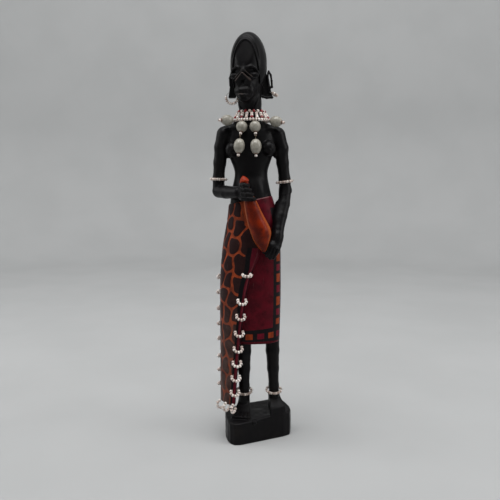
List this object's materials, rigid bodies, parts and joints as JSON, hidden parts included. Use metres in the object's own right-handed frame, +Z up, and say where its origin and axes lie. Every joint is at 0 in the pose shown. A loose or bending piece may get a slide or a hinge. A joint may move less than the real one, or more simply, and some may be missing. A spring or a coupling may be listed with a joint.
{
  "type": "carved wooden figure",
  "caption": "Tall carved standing woman on a rough plinth, holding a calabash, with a patterned shawl, bead collar, hanging nuts, armlets, anklets and bead loops.",
  "frame": {"origin": "centre of the plinth's flat underside", "axes": "+Z up, the figure looks along -Y, +X towards the figure's own left"},
  "size_m": [0.0823, 0.0656, 0.4],
  "materials": {
    "black_wood": "satin black stained hardwood",
    "skirt_paint": "satin dark red stain",
    "shawl_paint": "satin dark brown cells with orange lines",
    "gourd_stain": "satin orange brown stain",
    "white_glass": "opaque white seed bead",
    "red_glass": "opaque red seed bead",
    "wire": "thin dull wire",
    "nut": "hard grey natural nut with fine streaks"
  },
  "bodies": {
    "carving": {"upper_figure": "black_wood", "plinth_and_legs": "black_wood", "skirt_wrap": "skirt_paint", "giraffe_shawl": "shawl_paint", "gourd": "gourd_stain"},
    "collar": {"collar_wire": "wire", "collar_white_beads": "white_glass", "collar_red_beads": "red_glass"},
    "right_upper_pendant": {"right_upper_pendant_wire": "wire", "right_upper_pendant_nut": "nut", "right_upper_pendant_beads": "white_glass"},
    "right_lower_pendant": {"right_lower_pendant_wire": "wire", "right_lower_pendant_nut": "nut", "right_lower_pendant_beads": "white_glass"},
    "right_shoulder_seed": {"right_shoulder_seed_wire": "wire", "right_shoulder_seed_nut": "nut", "right_shoulder_seed_beads": "white_glass"},
    "left_upper_pendant": {"left_upper_pendant_wire": "wire", "left_upper_pendant_nut": "nut", "left_upper_pendant_beads": "white_glass"},
    "left_lower_pendant": {"left_lower_pendant_wire": "wire", "left_lower_pendant_nut": "nut", "left_lower_pendant_beads": "white_glass"},
    "left_shoulder_seed": {"left_shoulder_seed_wire": "wire", "left_shoulder_seed_nut": "nut", "left_shoulder_seed_beads": "white_glass"},
    "right_earring": {"right_earring_wire": "wire", "right_earring_beads": "white_glass"},
    "left_earring": {"left_earring_wire": "wire", "left_earring_beads": "white_glass"},
    "right_armlet": {"right_armlet_wire": "wire"},
    "right_armlet_bead_row": {"right_armlet_beads": "white_glass"},
    "left_armlet": {"left_armlet_wire": "wire"},
    "left_armlet_bead_row": {"left_armlet_beads": "white_glass"},
    "right_anklet": {"right_anklet_wire": "wire"},
    "right_anklet_bead_row": {"right_anklet_beads": "white_glass"},
    "left_anklet": {"left_anklet_wire": "wire"},
    "left_anklet_bead_row": {"left_anklet_beads": "white_glass"},
    "shawl_front_loop_1_swinging": {"shawl_front_loop_1": "white_glass"},
    "shawl_front_loop_2_swinging": {"shawl_front_loop_2": "white_glass"},
    "shawl_front_loop_3_swinging": {"shawl_front_loop_3": "white_glass"},
    "shawl_front_loop_4_swinging": {"shawl_front_loop_4": "white_glass"},
    "shawl_front_loop_5_swinging": {"shawl_front_loop_5": "white_glass"},
    "shawl_front_loop_6_swinging": {"shawl_front_loop_6": "white_glass"},
    "shawl_front_loop_7_swinging": {"shawl_front_loop_7": "white_glass"},
    "shawl_front_loop_8_swinging": {"shawl_front_loop_8": "white_glass"},
    "shawl_rear_loop_1_swinging": {"shawl_rear_loop_1": "white_glass"},
    "shawl_rear_loop_2_swinging": {"shawl_rear_loop_2": "white_glass"},
    "shawl_rear_loop_3_swinging": {"shawl_rear_loop_3": "white_glass"},
    "shawl_rear_loop_4_swinging": {"shawl_rear_loop_4": "white_glass"},
    "shawl_rear_loop_5_swinging": {"shawl_rear_loop_5": "white_glass"},
    "shawl_rear_loop_6_swinging": {"shawl_rear_loop_6": "white_glass"},
    "shawl_rear_loop_7_swinging": {"shawl_rear_loop_7": "white_glass"},
    "shawl_rear_loop_8_swinging": {"shawl_rear_loop_8": "white_glass"},
    "shawl_bottom_loop_1_swinging": {"shawl_bottom_loop_1": "white_glass"},
    "shawl_bottom_loop_2_swinging": {"shawl_bottom_loop_2": "white_glass"},
    "shawl_bottom_loop_3_swinging": {"shawl_bottom_loop_3": "white_glass"}
  },
  "joints": [
    {"name": "collar_turn", "type": "hinge", "parent": "carving", "child": "collar", "pos_m": [-0.0055, 0.0025, 0.3172], "axis": [0, 0, 1], "range_deg": [-5, 5]},
    {"name": "right_upper_pendant_swing", "type": "hinge", "parent": "collar", "child": "right_upper_pendant", "pos_m": [-0.01344, -0.01343, 0.3172], "axis": [-0.8949, 0.4462, 0], "range_deg": [0, 45]},
    {"name": "right_lower_pendant_swing", "type": "hinge", "parent": "right_upper_pendant", "child": "right_lower_pendant", "pos_m": [-0.01628, -0.01912, 0.30145], "axis": [-0.8949, 0.4462, 0], "range_deg": [0, 35]},
    {"name": "right_shoulder_seed_swing", "type": "hinge", "parent": "collar", "child": "right_shoulder_seed", "pos_m": [-0.02129, -0.00572, 0.3172], "axis": [-0.4617, 0.887, 0], "range_deg": [0, 50]},
    {"name": "left_upper_pendant_swing", "type": "hinge", "parent": "collar", "child": "left_upper_pendant", "pos_m": [-0.00256, -0.01506, 0.3172], "axis": [-0.9863, -0.165, 0], "range_deg": [0, 45]},
    {"name": "left_lower_pendant_swing", "type": "hinge", "parent": "left_upper_pendant", "child": "left_lower_pendant", "pos_m": [-0.0017, -0.02021, 0.30124], "axis": [-0.9863, -0.165, 0], "range_deg": [0, 35]},
    {"name": "left_shoulder_seed_swing", "type": "hinge", "parent": "collar", "child": "left_shoulder_seed", "pos_m": [0.01043, -0.00544, 0.3172], "axis": [-0.4462, -0.8949, 0], "range_deg": [0, 50]},
    {"name": "right_earring_swing", "type": "hinge", "parent": "carving", "child": "right_earring", "pos_m": [-0.0244, 0.0008, 0.344], "axis": [1, 0, 0], "range_deg": [0, 35]},
    {"name": "left_earring_swing", "type": "hinge", "parent": "carving", "child": "left_earring", "pos_m": [0.0126, 0.0061, 0.345], "axis": [0, -1, 0], "range_deg": [0, 55]},
    {"name": "right_armlet_slide", "type": "slide", "parent": "carving", "child": "right_armlet", "axis": [0.026, 0, 0.9997], "range_m": [-0.002, 0.006]},
    {"name": "right_armlet_beads_turn", "type": "hinge", "parent": "right_armlet", "child": "right_armlet_bead_row", "pos_m": [-0.0377, 0.002, 0.261], "axis": [0.03, 0, 0.9996], "range_deg": [-6, 6]},
    {"name": "left_armlet_slide", "type": "slide", "parent": "carving", "child": "left_armlet", "axis": [-0.1064, -0.0189, 0.9941], "range_m": [-0.002, 0.006]},
    {"name": "left_armlet_beads_turn", "type": "hinge", "parent": "left_armlet", "child": "left_armlet_bead_row", "pos_m": [0.0268, 0.00285, 0.2586], "axis": [-0.1289, -0.0198, 0.9915], "range_deg": [-6, 6]},
    {"name": "right_anklet_slide", "type": "slide", "parent": "carving", "child": "right_anklet", "axis": [-0.01, -0.025, 0.9996], "range_m": [0, 0.004]},
    {"name": "right_anklet_beads_turn", "type": "hinge", "parent": "right_anklet", "child": "right_anklet_bead_row", "pos_m": [-0.0129, 0.003, 0.0465], "axis": [0, -0.2149, 0.9766], "range_deg": [-6, 6]},
    {"name": "left_anklet_slide", "type": "slide", "parent": "carving", "child": "left_anklet", "axis": [-0.0429, -0.024, 0.9988], "range_m": [0, 0.004]},
    {"name": "left_anklet_beads_turn", "type": "hinge", "parent": "left_anklet", "child": "left_anklet_bead_row", "pos_m": [0.0175, 0.007, 0.046], "axis": [0, -0.2149, 0.9766], "range_deg": [-6, 6]},
    {"name": "front_loop_1_swing", "type": "hinge", "parent": "carving", "child": "shawl_front_loop_1_swinging", "pos_m": [-0.01093, -0.02215, 0.171], "axis": [-0.9537, -0.3008, 0], "range_deg": [0, 40]},
    {"name": "front_loop_2_swing", "type": "hinge", "parent": "carving", "child": "shawl_front_loop_2_swinging", "pos_m": [-0.01536, -0.02055, 0.147], "axis": [-0.9673, -0.2535, 0], "range_deg": [0, 70]},
    {"name": "front_loop_3_swing", "type": "hinge", "parent": "carving", "child": "shawl_front_loop_3_swinging", "pos_m": [-0.01663, -0.01975, 0.132], "axis": [-0.9707, -0.2401, 0], "range_deg": [0, 70]},
    {"name": "front_loop_4_swing", "type": "hinge", "parent": "carving", "child": "shawl_front_loop_4_swinging", "pos_m": [-0.01803, -0.01883, 0.115], "axis": [-0.9743, -0.2253, 0], "range_deg": [0, 70]},
    {"name": "front_loop_5_swing", "type": "hinge", "parent": "carving", "child": "shawl_front_loop_5_swinging", "pos_m": [-0.01918, -0.018, 0.0995], "axis": [-0.977, -0.2134, 0], "range_deg": [0, 70]},
    {"name": "front_loop_6_swing", "type": "hinge", "parent": "carving", "child": "shawl_front_loop_6_swinging", "pos_m": [-0.02028, -0.01753, 0.085], "axis": [-0.9803, -0.1976, 0], "range_deg": [0, 70]},
    {"name": "front_loop_7_swing", "type": "hinge", "parent": "carving", "child": "shawl_front_loop_7_swinging", "pos_m": [-0.02133, -0.01703, 0.07], "axis": [-0.9833, -0.1821, 0], "range_deg": [0, 70]},
    {"name": "front_loop_8_swing", "type": "hinge", "parent": "carving", "child": "shawl_front_loop_8_swinging", "pos_m": [-0.02222, -0.01657, 0.055], "axis": [-0.9857, -0.1683, 0], "range_deg": [0, 70]},
    {"name": "rear_loop_1_swing", "type": "hinge", "parent": "carving", "child": "shawl_rear_loop_1_swinging", "pos_m": [-0.03407, 0.00969, 0.1663], "axis": [0.8243, 0.5662, 0], "range_deg": [0, 70]},
    {"name": "rear_loop_2_swing", "type": "hinge", "parent": "carving", "child": "shawl_rear_loop_2_swinging", "pos_m": [-0.03445, 0.00971, 0.1505], "axis": [0.8317, 0.5552, 0], "range_deg": [0, 70]},
    {"name": "rear_loop_3_swing", "type": "hinge", "parent": "carving", "child": "shawl_rear_loop_3_swinging", "pos_m": [-0.03439, 0.00972, 0.134], "axis": [0.837, 0.5472, 0], "range_deg": [0, 70]},
    {"name": "rear_loop_4_swing", "type": "hinge", "parent": "carving", "child": "shawl_rear_loop_4_swinging", "pos_m": [-0.0343, 0.00973, 0.118], "axis": [0.8423, 0.539, 0], "range_deg": [0, 70]},
    {"name": "rear_loop_5_swing", "type": "hinge", "parent": "carving", "child": "shawl_rear_loop_5_swinging", "pos_m": [-0.03422, 0.00974, 0.1025], "axis": [0.8476, 0.5306, 0], "range_deg": [0, 70]},
    {"name": "rear_loop_6_swing", "type": "hinge", "parent": "carving", "child": "shawl_rear_loop_6_swinging", "pos_m": [-0.0342, 0.00974, 0.084], "axis": [0.8487, 0.5289, 0], "range_deg": [0, 70]},
    {"name": "rear_loop_7_swing", "type": "hinge", "parent": "carving", "child": "shawl_rear_loop_7_swinging", "pos_m": [-0.0342, 0.00974, 0.0695], "axis": [0.8487, 0.5289, 0], "range_deg": [0, 70]},
    {"name": "rear_loop_8_swing", "type": "hinge", "parent": "carving", "child": "shawl_rear_loop_8_swinging", "pos_m": [-0.0342, 0.00974, 0.0545], "axis": [0.8487, 0.5289, 0], "range_deg": [0, 70]},
    {"name": "bottom_loop_1_swing", "type": "hinge", "parent": "carving", "child": "shawl_bottom_loop_1_swinging", "pos_m": [-0.03378, -0.00527, 0.0389], "axis": [0.6368, 0.3074, -0.7071], "range_deg": [-30, 30]},
    {"name": "bottom_loop_2_swing", "type": "hinge", "parent": "carving", "child": "shawl_bottom_loop_2_swinging", "pos_m": [-0.02846, -0.01221, 0.0389], "axis": [0.4726, 0.526, -0.7071], "range_deg": [-30, 30]},
    {"name": "bottom_loop_3_swing", "type": "hinge", "parent": "carving", "child": "shawl_bottom_loop_3_swinging", "pos_m": [-0.02204, -0.01656, 0.0389], "axis": [0.3205, 0.6303, -0.7071], "range_deg": [-30, 30]}
  ]
}
